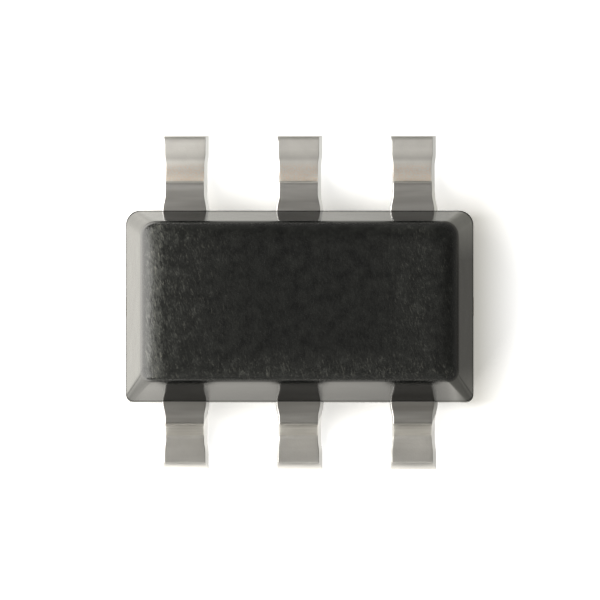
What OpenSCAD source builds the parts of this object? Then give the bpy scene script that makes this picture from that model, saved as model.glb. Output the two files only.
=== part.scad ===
// Six-lead voltage regulator in a small moulded surface-mount package, lying on its feet as on a board.
// Leads 1 to 3 run left to right along the front (-Y), leads 4 to 6 right to left along the back (+Y).
// The origin is on the board, under the middle of the six feet. All sizes are in millimetres.

/* [Moulded body] */
// Length of the body, along the rows of leads
body_l = 2.9; // [2.8:0.05:3.05]
// Width of the body, from row to row
body_w = 1.6; // [1.55:0.05:1.7]
// How far the body sits towards the back row from the middle of the feet
body_shift = -0.08; // [-0.1:0.01:0]
// Height of the whole part, from the board to the top face
height = 1.2; // [1.15:0.05:1.45]
// Air gap between the board and the underside
standoff = 0.05; // [0.02:0.01:0.1]
// Slope of the walls above the parting band, in degrees from the vertical
upper_draft = 15; // [10:0.5:16]
// Slope of the walls below the parting band, in degrees from the vertical
lower_draft = 8; // [5:0.5:12]
// Height of the rounding between the walls and the top face
top_round = 0.08; // [0.05:0.01:0.12]
// Reach of that rounding, from the walls in over the top face
top_round_reach = 0.17; // [0.13:0.01:0.2]
// Rounding between the walls and the underside
bottom_round = 0.08; // [0.04:0.01:0.12]
// Upright corner radius at the parting band, back row side
corner_back = 0.12; // [0.06:0.01:0.15]
// Upright corner radius at the parting band, front row side
corner_front = 0.06; // [0.04:0.01:0.12]
// Upright corner radius at the top and bottom faces
corner_face = 0.08; // [0.05:0.01:0.12]
// How far the upright parting band reaches past the leadframe, above and below
band_lip = 0.01; // [0.005:0.005:0.03]
// Diameter of the round ejector mark in the underside
ejector_d = 0.6; // [0.4:0.05:0.9]
// Depth of the ejector mark
ejector_depth = 0.02; // [0.01:0.005:0.04]

/* [Formed leads] */
// Thickness of the leadframe strip
lead_t = 0.11; // [0.1:0.01:0.13]
// Height of the strip's upper face above the board, inside the body
lead_top = 0.63; // [0.6:0.01:0.7]
// Spacing of the leads in a row
pitch = 0.95; // [0.93:0.01:0.97]
// Distance from the tips of one row to the tips of the other
span = 2.8; // [2.7:0.05:3]
// Width of a foot
foot_w = 0.38; // [0.36:0.01:0.4]
// Width of a lead where it turns down
neck_w = 0.36; // [0.33:0.01:0.38]
// Width of a lead at the body wall
root_w = 0.4; // [0.38:0.01:0.46]
// Length over which a lead narrows from the body wall
flare_l = 0.14; // [0.1:0.01:0.2]
// Reach of the back leads' shoulders, from the wall to the turned-down face
shoulder_back = 0.25; // [0.2:0.01:0.28]
// Reach of the front leads' shoulders
shoulder_front = 0.2; // [0.17:0.01:0.25]
// Outside radius of the bend at the shoulder, which is pressed into a tight corner
shoulder_out_r = 0.04; // [0.03:0.01:0.08]
// Inside radius of the bend at the shoulder
shoulder_in_r = 0.02; // [0.015:0.005:0.035]
// Inside radius of the bend at the foot, back row
foot_r_back = 0.15; // [0.04:0.01:0.16]
// Inside radius of the bend at the foot, front row
foot_r_front = 0.05; // [0.04:0.01:0.08]
// Lean of the turned-down stretch, in degrees from the vertical
riser_lean = 4; // [0:0.5:8]
// Slant of the sheared tip, in degrees from the vertical
tip_slant = 12; // [0:1:15]

/* [Inner leadframe] */
// Length of the die pad, along the body
pad_l = 1.1; // [0.98:0.02:1.14]
// Width of the die pad
pad_w = 0.84; // [0.78:0.02:0.86]
// Width of the tie bars that held the die pad in the strip
tie_w = 0.15; // [0.1:0.01:0.18]
// Width of a corner lead inside the body
finger_w = 0.52; // [0.46:0.01:0.56]
// Stretch behind the wall that keeps the root's width
root_in = 0.06; // [0.04:0.01:0.08]
// Gap between neighbouring pieces of the leadframe
metal_gap = 0.09; // [0.08:0.005:0.1]
// Diameter of the holes that lock the corner leads in the moulding
lock_d = 0.2; // [0.14:0.01:0.24]
// Distance from the wall to the middle of a locking hole
lock_in = 0.22; // [0.2:0.01:0.26]
// Width of the middle back lead's inner end
tee_w = 0.62; // [0.54:0.02:0.66]
// Length of the middle back lead's inner end
tee_l = 0.12; // [0.11:0.01:0.14]

/* [Die and bond wires] */
// Length of the silicon die
die_l = 0.88; // [0.8:0.02:0.94]
// Width of the silicon die
die_w = 0.66; // [0.6:0.02:0.7]
// Thickness of the silicon die
die_t = 0.2; // [0.15:0.01:0.24]
// Thickness of the die attach layer
attach_t = 0.02; // [0.015:0.005:0.03]
// How far the die attach layer shows around the die
attach_rim = 0.03; // [0.02:0.01:0.04]
// Side of a bond pad on the die
bond_pad = 0.08; // [0.07:0.005:0.09]
// Height of the bond pads
bond_pad_h = 0.005; // [0.004:0.001:0.008]
// Distance from the die's edge to the middle of a bond pad
bond_in = 0.06; // [0.05:0.005:0.08]
// Distance from the die's middle line to the first bond pads of the two ends
bond_first = 0.09; // [0.08:0.01:0.1]
// Spacing of neighbouring bonds
bond_step = 0.12; // [0.1:0.01:0.13]
// Diameter of the bond wire
wire_d = 0.03; // [0.02:0.002:0.034]
// Rise of a wire's loop before it turns over
loop_rise = 0.26; // [0.2:0.01:0.3]
// Distance from a lead's inner end to the first stitch
stitch_in = 0.08; // [0.07:0.005:0.1]

/* [Hidden] */

$fn = 48;

// Colours as the finished part shows them
compound_colour = "#2e2e2d";
tin_colour = "#a5a29a";
attach_colour = "#c9c6bd";
silicon_colour = "#4a4f5c";
gold_colour = "#d9a93a";

// Leadframe levels, and the walls that the two rows leave by
lead_bottom = lead_top - lead_t;
front = -1;
back = 1;
function wall_y(row) = body_shift + row * body_w / 2;
function tip_reach(row) = span / 2 - row * wall_y(row);
function shoulder(row) = row == back ? shoulder_back : shoulder_front;

// The bends of a lead, in a side view with the reach from the wall as x and the height as y
shoulder_y = lead_top - shoulder_out_r;
function shoulder_x(row) = shoulder(row) - shoulder_out_r * cos(riser_lean);
inner_y = lead_bottom - shoulder_in_r;
function inner_x(row) = shoulder_x(row)
    + (shoulder_out_r - shoulder_in_r - lead_t + sin(riser_lean) * (shoulder_y - inner_y)) / cos(riser_lean);
function foot_r(row) = row == back ? foot_r_back : foot_r_front;
function foot_y(row) = lead_t + foot_r(row);
function foot_x(row) = shoulder_x(row)
    + (shoulder_out_r + foot_r(row) + sin(riser_lean) * (shoulder_y - foot_y(row))) / cos(riser_lean);
bend_steps = 9;

// Inner leadframe, die and wire levels
attach_z = lead_top;
die_z = attach_z + attach_t;
die_top = die_z + die_t;
bond_z = die_top + bond_pad_h;
function finger_end(row) = body_shift + row * (tie_w / 2 + metal_gap);
function pad_edge(row) = body_shift + row * pad_w / 2;
finger_l = body_w / 2 - tie_w / 2 - metal_gap;
tee_end = pad_w / 2 + metal_gap;

// Where the wires start on the die and end on the leads: the first or second of a pair, at either end
first = 0;
second = 1;
function bond_y(row, place) = body_shift + row * (bond_first + place * bond_step);
function stitch_y(row, place) = finger_end(row) + row * (stitch_in + place * bond_step);
bond_x = die_l / 2 - bond_in;
stitch_x = pitch - finger_w / 2 + stitch_in;
side_bond_x = bond_step / 2;
ground_stitch_y = pad_edge(front) - stitch_in;
bypass_stitch_y = body_shift + tee_end + tee_l / 2;

// Each wire: start on the die, end on the lead
left = -1;
right = 1;
input_a = [[left * bond_x, bond_y(front, second)], [left * stitch_x, stitch_y(front, second)]];
input_b = [[left * bond_x, bond_y(front, first)], [left * stitch_x, stitch_y(front, first)]];
enable = [[right * bond_x, bond_y(front, second)], [right * stitch_x, stitch_y(front, second)]];
adjust = [[right * bond_x, bond_y(back, first)], [right * stitch_x, stitch_y(back, first)]];
output_a = [[left * bond_x, bond_y(back, second)], [left * stitch_x, stitch_y(back, second)]];
output_b = [[left * bond_x, bond_y(back, first)], [left * stitch_x, stitch_y(back, first)]];
ground = [[left * side_bond_x, body_shift - die_w / 2 + bond_in], [left * side_bond_x, ground_stitch_y]];
bypass = [[right * side_bond_x, body_shift + die_w / 2 - bond_in], [right * side_bond_x, bypass_stitch_y]];
wires = [input_a, input_b, enable, adjust, output_a, output_b, ground, bypass];

// Closed solid through a stack of rings that all have the same number of points, lowest ring first
module loft(rings) {
    count = len(rings[0]);
    last = len(rings) - 1;
    sides = [for (i = [0 : last - 1]) for (j = [0 : count - 1])
        [i * count + j,
         (i + 1) * count + j,
         (i + 1) * count + (j + 1) % count,
         i * count + (j + 1) % count]];
    start_cap = [[for (j = [0 : count - 1]) j]];
    end_cap = [[for (j = [count - 1 : -1 : 0]) last * count + j]];
    polyhedron(points = [for (ring = rings) each ring], faces = concat(start_cap, sides, end_cap));
}

// The body's outline at one height: a rectangle drawn in by the draft, with its own corner radii
corner_steps = 8;
function body_ring(level, inset, back_r, front_r) = [
    for (quarter = [0 : 3])
        let (side = quarter == 0 || quarter == 3 ? right : left,
             row = quarter < 2 ? back : front,
             radius = row == back ? back_r : front_r,
             centre_x = side * (body_l / 2 - inset - radius),
             centre_y = body_shift + row * (body_w / 2 - inset - radius))
        for (step = [0 : corner_steps])
            let (angle = 90 * (quarter + step / corner_steps))
            [centre_x + radius * cos(angle), centre_y + radius * sin(angle), level]
];

// One half of the body is a drafted wall from the parting band and then a quarter of an ellipse into the
// face. Each function takes the wall's foot, the level of the face, the draft, and the ellipse's reach and
// height as edge. The quarter starts at the angle where it runs on from the wall.
function edge_start(draft, edge) = atan(edge[1] / edge[0] * tan(draft));
function wall_rise(from, face, draft, edge) = abs(face - from) - edge[1] * (1 - sin(edge_start(draft, edge)));
function wall_inset(from, face, draft, edge) = wall_rise(from, face, draft, edge) * tan(draft);
function face_inset(from, face, draft, edge) =
    wall_inset(from, face, draft, edge) + edge[0] * cos(edge_start(draft, edge));
function edge_ring(from, face, draft, edge, share) =
    let (up = sign(face - from),
         start = edge_start(draft, edge),
         angle = start + (90 - start) * share,
         whole = face_inset(from, face, draft, edge),
         inset = whole - edge[0] * cos(angle),
         part = inset / whole)
    body_ring(face - up * edge[1] * (1 - sin(angle)),
              inset,
              corner_back + part * (corner_face - corner_back),
              corner_front + part * (corner_face - corner_front));

band_top = lead_top + band_lip;
band_bottom = lead_bottom - band_lip;
top_steps = 8;
bottom_steps = 4;
module body_blank() {
    bottom_edge = [bottom_round, bottom_round];
    top_edge = [top_round_reach, top_round];
    lower = [for (step = [0 : bottom_steps])
        edge_ring(band_bottom, standoff, lower_draft, bottom_edge, 1 - step / bottom_steps)];
    band = [for (level = [band_bottom, band_top]) body_ring(level, 0, corner_back, corner_front)];
    upper = [for (step = [0 : top_steps])
        edge_ring(band_top, height, upper_draft, top_edge, step / top_steps)];
    loft(concat(lower, band, upper));
}

module ejector_mark() {
    translate([0, body_shift, standoff - ejector_depth])
        cylinder(h = 2 * ejector_depth, d = ejector_d);
}

// The tie bars' opening is cut a little longer than the body, so that it is open at both ends
module moulded_body() {
    color(compound_colour) difference() {
        body_blank();
        ejector_mark();
        lead_1_input();
        ground_frame(body_l + band_lip);
        lead_3_enable();
        lead_4_adjust();
        lead_5_bypass();
        lead_6_output();
        die_attach();
        regulator_die();
        for (wire = wires) bond_wire(wire);
    }
}

// Points of an arc in a side view, from one angle to another
function arc(x, y, radius, from, to) = [
    for (step = [0 : bend_steps])
        let (angle = from + (to - from) * step / bend_steps)
        [x + radius * cos(angle), y + radius * sin(angle)]
];

// Side view of a gull-wing lead: along the top from inside the body to the tip, and back along the underside
function lead_side(row, inner) = concat(
    [[-inner, lead_top]],
    arc(shoulder_x(row), shoulder_y, shoulder_out_r, 90, riser_lean),
    arc(foot_x(row), foot_y(row), foot_r(row), 180 + riser_lean, 270),
    [[tip_reach(row) - lead_t * tan(tip_slant), lead_t]],
    [[tip_reach(row), 0]],
    arc(foot_x(row), foot_y(row), foot_r(row) + lead_t, 270, 180 + riser_lean),
    arc(inner_x(row), inner_y, shoulder_in_r, riser_lean, 90),
    [[-inner, lead_bottom]]
);

// Half width of a lead outside the wall: a cosine flare to the neck, and another out to the foot
flare_steps = 7;
foot_flare_l = 0.1;
function flare(from, to, part) = from + (to - from) * (1 - cos(180 * part)) / 2;
function lead_edge(row) = concat(
    [for (step = [0 : flare_steps])
        [flare(root_w, neck_w, step / flare_steps) / 2, flare_l * step / flare_steps]],
    [for (step = [0 : flare_steps])
        [flare(neck_w, foot_w, step / flare_steps) / 2,
         foot_x(row) + foot_flare_l * step / flare_steps]],
    [[foot_w / 2, tip_reach(row) + lead_t]]
);

// Plan of a lead: its outer edge on both sides, closed by the half outline of its inner end
module lead_plan(row, inner_edge) {
    edge = concat(inner_edge, lead_edge(row));
    mirrored = [for (i = [len(edge) - 1 : -1 : 0]) [-edge[i][0], edge[i][1]]];
    polygon(concat(edge, mirrored));
}

// Corner lead inside the body: root width behind the wall, then the wider finger with cut corners
finger_cut = 0.06;
finger_edge = [
    [finger_w / 2 - finger_cut, -finger_l],
    [finger_w / 2, finger_cut - finger_l],
    [finger_w / 2, root_w / 2 - finger_w / 2 - root_in],
    [root_w / 2, -root_in]
];

// Middle back lead inside the body: a shank that ends in a cross piece
tee_start = tee_end - body_w / 2;
tee_edge = [
    [tee_w / 2, tee_start],
    [tee_w / 2, tee_start + tee_l],
    [root_w / 2, tee_start + tee_l]
];

// A lead in its row's own place, with the reach from the wall along +Y, cut from the plan and the side view
module formed_lead(row, inner, width) {
    translate([0, wall_y(row), 0])
        mirror([0, row == back ? 0 : 1, 0])
            intersection() {
                translate([-width / 2, 0, 0])
                    rotate([90, 0, 90])
                        linear_extrude(width) polygon(lead_side(row, inner));
                linear_extrude(2 * lead_top) children();
            }
}

module corner_lead(side, row) {
    translate([side * pitch, 0, 0])
        formed_lead(row, finger_l, 2 * finger_w)
            difference() {
                lead_plan(row, finger_edge);
                translate([0, -lock_in]) circle(d = lock_d);
            }
}

// Middle front lead, whose inner end is the die pad, with the tie bars that are cut off at the body's ends
module ground_frame(tie_span) {
    depth = body_w / 2 + pad_w / 2;
    formed_lead(front, depth, 2 * body_l)
        union() {
            lead_plan(front, [[root_w / 2, -body_w / 2]]);
            translate([-pad_l / 2, -depth]) square([pad_l, pad_w]);
            translate([-tie_span / 2, -(body_w + tie_w) / 2]) square([tie_span, tie_w]);
        }
}

module lead_1_input() {
    color(tin_colour) corner_lead(left, front);
}

module lead_2_ground_with_die_pad() {
    color(tin_colour) ground_frame(body_l);
}

module lead_3_enable() {
    color(tin_colour) corner_lead(right, front);
}

module lead_4_adjust() {
    color(tin_colour) corner_lead(right, back);
}

module lead_5_bypass() {
    color(tin_colour)
        formed_lead(back, body_w / 2 - tee_end, 2 * tee_w)
            lead_plan(back, tee_edge);
}

module lead_6_output() {
    color(tin_colour) corner_lead(left, back);
}

module plate(length, width, thickness, centre, level) {
    translate([centre[0] - length / 2, centre[1] - width / 2, level])
        cube([length, width, thickness]);
}

module die_attach() {
    color(attach_colour)
        plate(die_l + 2 * attach_rim, die_w + 2 * attach_rim, attach_t, [0, body_shift], attach_z);
}

// The bond pads stand on the die's upper face, one under each wire
module regulator_die() {
    color(silicon_colour) union() {
        plate(die_l, die_w, die_t, [0, body_shift], die_z);
        for (wire = wires) plate(bond_pad, bond_pad, die_t + bond_pad_h, wire[0], die_z);
    }
}

// Bond wire: a flattened ball on the die, a loop along a cubic curve, and a flattened stitch on the lead.
// A section is [reach, height, slope of the path in degrees, half width, half thickness].
wire_sides = 8;
flat = cos(180 / wire_sides);
ball_r = 1.35 * wire_d;
ball_h = wire_d;
stitch_w = 0.9 * wire_d;
stitch_h = 0.3 * wire_d;
stitch_l = 1.2 * wire_d;
loop_steps = 9;
function cubic(a, b, c, d, t) = pow(1 - t, 3) * a + 3 * pow(1 - t, 2) * t * b
    + 3 * (1 - t) * pow(t, 2) * c + pow(t, 3) * d;
function cubic_slope(a, b, c, d, t) = pow(1 - t, 2) * (b - a) + 2 * (1 - t) * t * (c - b)
    + pow(t, 2) * (d - c);
function ball_sections() = [
    [0, bond_z, 90, 0.85 * ball_r, 0.85 * ball_r],
    [0, bond_z + 0.4 * ball_h, 90, ball_r, ball_r],
    [0, bond_z + 0.8 * ball_h, 90, 0.8 * ball_r, 0.8 * ball_r],
    [0, bond_z + ball_h, 90, wire_d / 2, wire_d / 2]
];
function loop_sections(reach) =
    let (start = bond_z + 1.4 * ball_h,
         top = start + loop_rise,
         low = lead_top + 2 * wire_d,
         end = lead_top + 0.6 * wire_d)
    [for (step = [0 : loop_steps])
        let (t = step / (loop_steps + 0.5),
             along = cubic_slope(0, 0, 0.78 * reach, reach, t),
             up = cubic_slope(start, top, low, end, t))
        [cubic(0, 0, 0.78 * reach, reach, t),
         cubic(start, top, low, end, t),
         atan2(up, along),
         wire_d / 2,
         wire_d / 2]];
function stitch_sections(reach) = [
    [reach, lead_top + flat * stitch_h, 0, stitch_w, stitch_h],
    [reach + stitch_l, lead_top + flat * stitch_h, 0, stitch_w, stitch_h]
];
function wire_ring(start, heading, section) = [
    for (side = [0 : wire_sides - 1])
        let (angle = 360 * (side + 0.5) / wire_sides,
             across = section[3] * cos(angle),
             over = section[4] * sin(angle),
             along = section[0] - over * sin(section[2]))
        [start[0] + along * cos(heading) - across * sin(heading),
         start[1] + along * sin(heading) + across * cos(heading),
         section[1] + over * cos(section[2])]
];
module bond_wire(wire) {
    run = wire[1] - wire[0];
    heading = atan2(run[1], run[0]);
    reach = norm(run) - stitch_l / 2;
    sections = concat(ball_sections(), loop_sections(reach), stitch_sections(reach));
    color(gold_colour)
        loft([for (section = sections) wire_ring(wire[0], heading, section)]);
}

moulded_body();
lead_1_input();
lead_2_ground_with_die_pad();
lead_3_enable();
lead_4_adjust();
lead_5_bypass();
lead_6_output();
die_attach();
regulator_die();
bond_wire(input_a);  // bond_wire_input_a
bond_wire(input_b);  // bond_wire_input_b
bond_wire(ground);  // bond_wire_ground
bond_wire(enable);  // bond_wire_enable
bond_wire(adjust);  // bond_wire_adjust
bond_wire(bypass);  // bond_wire_bypass
bond_wire(output_a);  // bond_wire_output_a
bond_wire(output_b);  // bond_wire_output_b
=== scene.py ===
import math

import bpy
import numpy as np
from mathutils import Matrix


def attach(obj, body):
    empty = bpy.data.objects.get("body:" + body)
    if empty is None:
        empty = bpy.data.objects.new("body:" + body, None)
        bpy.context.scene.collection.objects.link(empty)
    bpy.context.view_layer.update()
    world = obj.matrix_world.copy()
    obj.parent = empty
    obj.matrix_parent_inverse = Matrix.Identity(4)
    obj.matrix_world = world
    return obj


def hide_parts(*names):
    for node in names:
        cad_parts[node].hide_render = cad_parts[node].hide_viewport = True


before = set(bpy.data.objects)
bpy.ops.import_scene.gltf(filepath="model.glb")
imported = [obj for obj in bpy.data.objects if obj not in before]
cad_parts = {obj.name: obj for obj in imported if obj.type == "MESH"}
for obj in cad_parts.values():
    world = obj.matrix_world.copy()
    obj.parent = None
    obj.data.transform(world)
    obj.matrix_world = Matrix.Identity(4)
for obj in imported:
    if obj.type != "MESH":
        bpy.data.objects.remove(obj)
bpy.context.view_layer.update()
mm = 0.001
print("frame loaded:", len(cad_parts), "nodes")


# Meshes

def addPiece(name, points, faces, body="root"):
    # points in millimetres, faces as lists of vertex numbers that turn counter-clockwise seen from outside
    mesh = bpy.data.meshes.new(name)
    mesh.from_pydata((np.asarray(points) * mm).tolist(), [], faces)
    mesh.polygons.foreach_set("use_smooth", np.ones(len(mesh.polygons), bool))
    mesh.set_sharp_from_angle(angle=math.radians(38))
    piece = bpy.data.objects.new(name, mesh)
    bpy.context.scene.collection.objects.link(piece)
    if body:
        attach(piece, body)
    return piece


def stackFaces(rings, around, flip=False):
    # Vertex (i, j) of a stack of closed rings has the number i * around + j. Each cell between two rings is a
    # quad, and the first and last ring are closed by one face each.
    i, j = np.meshgrid(np.arange(rings - 1), np.arange(around), indexing="ij")
    k = (j + 1) % around
    quads = np.stack([i * around + j, i * around + k, (i + 1) * around + k, (i + 1) * around + j], -1)
    quads = quads.reshape(-1, 4)
    first = np.arange(around)[::-1]
    last = np.arange(around) + (rings - 1) * around
    if flip:
        quads, first, last = quads[:, ::-1], first[::-1], last[::-1]
    return quads.tolist() + [first.tolist(), last.tolist()]


# Moulded body

bodyShape = {
    "length": 2.9, "width": 1.6, "shift": -0.08,
    "top": 1.2, "standoff": 0.05, "bandTop": 0.64, "bandBottom": 0.51,
    "bandInset": 0.003, "ledge": 0.004, "bandEdge": 0.003,
    "upperDraft": 15.0, "lowerDraft": 8.0, "bottomRound": 0.08,
    "topRound": 0.08, "topReach": 0.17, "topEase": 0.01, "easeTurn": 30.0,
    "cornerBack": 0.12, "cornerFront": 0.06, "cornerFace": 0.14,
    "ejectorRadius": 0.3, "ejectorDepth": 0.02, "ejectorEdge": 0.006,
    "cornerSteps": 14, "longSteps": 56, "shortSteps": 32, "wallRows": 8, "roundRows": 22,
    # Sizes of the rings on the top face, places of those on the underside, and radii on the mark's floor
    "topRings": (0.97, 0.9, 0.75, 0.55, 0.35, 0.15, 0.03), "underRings": (0.25, 0.5, 0.75, 0.95),
    "floorRings": (0.01, 0.15),
}


def bodyOutline(inset, blend):
    # Rounded rectangle as arrays over the rings: half sizes less the inset, and corner radii that go in a
    # straight line from their value at the parting band to the value at the face as blend goes from 0 to 1.
    # Each corner is a quarter circle, and the points between two corners divide the straight side evenly.
    s = bodyShape
    corners = [(1, 1, 0), (-1, 1, 90), (-1, -1, 180), (1, -1, 270)]
    inset, blend = np.asarray(inset)[:, None], np.asarray(blend)[:, None]
    pieces = []
    ends = []
    for sx, sy, start in corners:
        base = s["cornerBack"] if sy > 0 else s["cornerFront"]
        radius = base + blend * (s["cornerFace"] - base)
        angle = np.radians(start + np.linspace(0, 90, s["cornerSteps"] + 1))[None, :]
        x = sx * (s["length"] / 2 - inset - radius) + radius * np.cos(angle)
        y = s["shift"] + sy * (s["width"] / 2 - inset - radius) + radius * np.sin(angle)
        ends.append(np.stack([x, y], -1))
    for n in range(4):
        here, following = ends[n], ends[(n + 1) % 4]
        steps = s["longSteps"] if n % 2 == 0 else s["shortSteps"]
        share = np.linspace(0, 1, steps + 1)[1:-1][None, :, None]
        pieces += [here, here[:, -1:] * (1 - share) + following[:, :1] * share]
    return np.concatenate(pieces, 1)


def halfProfile(start, face, draft, reach, rise, inset, ease=0.0):
    # One half of the body's side view, from the parting band to its face: a straight drafted wall, then a
    # quarter of an ellipse with the given reach and rise, from where it runs on from the wall to level. The
    # steps along it are even in the turn of the surface. Over its first easeTurn degrees the surface gains
    # the extra reach ease, in half a cosine wave, and climbs by that reach over the tangent of the turn.
    # Returns heights and insets.
    s = bodyShape
    up = np.sign(face - start)
    draft = math.radians(draft)
    turn = np.linspace(draft, math.pi / 2, s["roundRows"])
    angle = np.arctan2(rise * np.sin(turn), reach * np.cos(turn))
    part = np.clip((turn - draft) / math.radians(s["easeTurn"]), 0, 1)
    extra = ease * (1 - np.cos(math.pi * part)) / 2
    climb = np.r_[0, np.cumsum(np.diff(extra) / np.tan((turn[1:] + turn[:-1]) / 2))]
    wall = abs(face - start) - rise * (1 - math.sin(angle[0])) - climb[-1]
    part = np.linspace(0, 1, s["wallRows"])
    whole = wall * math.tan(draft) + reach * math.cos(angle[0]) + ease
    left = rise * (1 - np.sin(angle[1:])) + climb[-1] - climb[1:]
    height = np.r_[start + up * wall * part, face - up * left]
    inward = np.r_[inset + (wall * math.tan(draft) - inset) * part,
                   whole - reach * np.cos(angle[1:]) - ease + extra[1:]]
    return height, inward, whole


def mouldedBody():
    # Stack of rings, each the body's outline at one height, drawn in by the half profiles: up from the
    # underside over the parting band to the top face, with flat rings that close the two faces.
    s = bodyShape
    upHeight, upInset, upWhole = halfProfile(s["bandTop"], s["top"], s["upperDraft"], s["topReach"],
                                             s["topRound"], s["bandInset"] + s["ledge"], s["topEase"])
    downHeight, downInset, downWhole = halfProfile(s["bandBottom"], s["standoff"], s["lowerDraft"],
                                                   s["bottomRound"], s["bottomRound"], s["bandInset"])
    e = s["bandEdge"]
    bandHeight = np.array([s["bandBottom"] + 0.2 * e, s["bandBottom"] + e, s["bandTop"] - e, s["bandTop"] - 0.2 * e])
    bandInset = s["bandInset"] + np.array([0.2 * e, 0, 0, 0.6 * e])
    height = np.r_[downHeight[::-1], bandHeight, upHeight]
    inset = np.r_[downInset[::-1], bandInset, upInset]
    blend = np.r_[downInset[::-1] / downWhole, bandHeight * 0, upInset / upWhole]
    outline = bodyOutline(inset, blend)
    rings = np.concatenate([outline, np.broadcast_to(height[:, None, None], outline.shape[:2] + (1,))], -1)
    # The top face goes on as rings drawn in towards the middle
    centre = np.array([0, s["shift"], 0])
    topRings = centre + (rings[-1] - centre) * np.array(s["topRings"])[:, None, None]
    topRings[..., 2] = s["top"]
    # The underside is rings between its outline and the round ejector mark, then the mark's wall and floor
    ray = (rings[0] - centre)[:, :2]
    ray /= np.linalg.norm(ray, axis=1)[:, None]
    e, low, floor = s["ejectorEdge"], s["standoff"], s["standoff"] + s["ejectorDepth"]
    radius = np.r_[s["floorRings"], s["ejectorRadius"] + np.array([-e, -0.3 * e, 0, 0, 0.3 * e, e])]
    level = np.array([floor, floor, floor, floor - 0.3 * e, floor - e, low + e, low + 0.3 * e, low])
    level = np.broadcast_to(level[:, None, None], (len(radius), len(ray), 1))
    mark = np.concatenate([centre[:2] + radius[:, None, None] * ray, level], -1)
    share = np.array(s["underRings"])[:, None, None]
    under = mark[-1] * (1 - share) + rings[0] * share
    points = np.concatenate([mark, under, rings, topRings])
    return addPiece("moulding", points.reshape(-1, 3), stackFaces(*points.shape[:2]))


# Leads

leadShape = {
    "thickness": 0.11, "top": 0.63, "pitch": 0.95, "span": 2.8,
    "foot": 0.38, "neck": 0.36, "root": 0.4, "flare": 0.14, "footFlare": 0.1,
    "shoulderBack": 0.25, "shoulderFront": 0.2, "shoulderOut": 0.04, "shoulderIn": 0.02,
    "footRadiusBack": 0.15, "footRadiusFront": 0.05,
    "lean": 4.0, "tipSlantBack": 12.0, "tipSlantFront": 24.0,
    "finger": 0.52, "fingerCut": 0.06, "rootIn": 0.06, "gap": 0.09, "tie": 0.15,
    "padLength": 1.1, "padWidth": 0.84, "teeWidth": 0.62, "teeLength": 0.12,
    "lockDiameter": 0.2, "lockIn": 0.22,
    "rolloverRight": 0.006, "rolloverLeft": 0.007, "slantRight": 14.0, "slantLeft": 4.0, "burr": 0.004,
    "tipRolloverBack": 0.042, "tipRolloverFront": 0.012,
    "sideBand": 0.012,  # width of the flat band beside a sheared side
    "cutStep": 0.004,  # length over which the inner end changes its width
    "tieHold": 0.001, "tieSides": 0.06,  # how far round a tie bar the sides are square, and what is left of their form
    "arcRows": 18, "straightRows": 10, "flareRows": 13, "edgeRows": 8, "tipRows": 7, "holeSides": 40,
    "finish": {"inputLead": 0.1, "groundLead": 0.25, "enableLead": 0.3,
               "adjustLead": 0.83, "bypassLead": 0.84, "outputLead": 0.9},
}


def leadPath(row, inner, breaks):
    # Upper and lower line of the strip in a side view, reach from the wall against height: level from inside
    # the body, an arc over the shoulder, a straight riser, an arc into the foot, level to the tip. The two
    # lines have a point for each row of the sweep. Also gives a stage number for each row: 0 at the wall, 1
    # and 2 at the ends of the shoulder bend, 3 and 4 at those of the foot bend, 5 at the tip.
    s = leadShape
    lean, thick = math.radians(s["lean"]), s["thickness"]
    wall = bodyShape["shift"] + row * bodyShape["width"] / 2
    tip = s["span"] / 2 - row * wall
    shoulder = s["shoulderBack"] if row > 0 else s["shoulderFront"]
    curl = s["footRadiusBack"] if row > 0 else s["footRadiusFront"]
    rollover = s["tipRolloverBack"] if row > 0 else s["tipRolloverFront"]
    out, into = s["shoulderOut"], s["shoulderIn"]
    sx, sy = shoulder - out * math.cos(lean), s["top"] - out
    iy = s["top"] - thick - into
    ix = sx + (out - into - thick + math.sin(lean) * (sy - iy)) / math.cos(lean)
    fy = thick + curl
    fx = sx + (out + curl + math.sin(lean) * (sy - fy)) / math.cos(lean)
    level = np.unique(np.r_[breaks[breaks < 0], -inner, 0, np.linspace(0, sx, s["straightRows"])[:-1]])
    turn = np.linspace(math.pi / 2, lean, s["arcRows"])
    back = np.linspace(math.pi + lean, 1.5 * math.pi, s["arcRows"])
    riser = np.linspace(0, 1, s["straightRows"])[1:-1]
    rim = rollover * (1 - np.sin(np.linspace(0, math.pi / 2, s["tipRows"])))
    foot = np.r_[np.linspace(fx, tip - rollover, s["straightRows"] + 4)[1:-1], tip - rim]

    def line(drop, x, y, small, large):
        # drop: distance below the upper line; x, y, small: the shoulder's arc; large: radius of the foot's arc
        flat = np.where(level > 0, level * x / sx, level)
        over = np.stack([x + small * np.cos(turn), y + small * np.sin(turn)], -1)
        under = np.stack([fx + large * np.cos(back), fy + large * np.sin(back)], -1)
        rise = over[-1] + (under[0] - over[-1]) * riser[:, None]
        return np.concatenate([np.stack([flat, flat * 0 + s["top"] - drop], -1), over, rise, under,
                               np.stack([foot, foot * 0 + thick - drop], -1)])

    upper = line(0, sx, sy, out, curl)
    lower = line(thick, ix, iy, into, curl + thick)
    stage = np.r_[level / sx, np.linspace(1, 2, len(turn)), 2 + riser, np.linspace(3, 4, len(back)),
                  4 + (foot - fx) / (tip - fx)]
    return upper, lower, stage, fx, tip, rollover


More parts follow.
